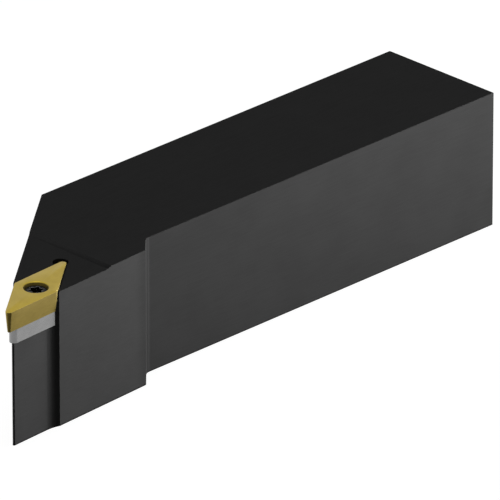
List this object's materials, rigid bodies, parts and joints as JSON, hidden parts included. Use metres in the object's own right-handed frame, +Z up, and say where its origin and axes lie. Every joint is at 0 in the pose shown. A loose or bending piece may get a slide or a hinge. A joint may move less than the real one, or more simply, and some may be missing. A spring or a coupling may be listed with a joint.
{
  "type": "turning tool holder",
  "caption": "Square-shank turning tool holder with an offset head that clamps a rhombic cutting insert on a shim with one screw through it.",
  "frame": {"origin": "corner where the shank's rear end, its locating side and its base meet", "axes": "+X along the shank from the rear end to the cutting tip, +Y from the locating side to the cutting side, +Z up from the base"},
  "size_m": [0.1532, 0.0381, 0.0318],
  "materials": {
    "holder_steel": "black oxide on ground steel, satin",
    "shim_carbide": "ground cemented carbide, satin",
    "screw_steel": "black alloy steel",
    "insert_coating": "gold titanium nitride coating on carbide, satin"
  },
  "bodies": {
    "holder": {"holder_body": "holder_steel", "shim": "shim_carbide", "shim_screw": "screw_steel", "insert": "insert_coating"},
    "clamp_screw": {"insert_screw": "screw_steel"}
  },
  "joints": [
    {"name": "insert_screw_lift", "type": "slide", "parent": "holder", "child": "clamp_screw", "axis": [0, 0, 1], "range_m": [0, 0.014]}
  ]
}
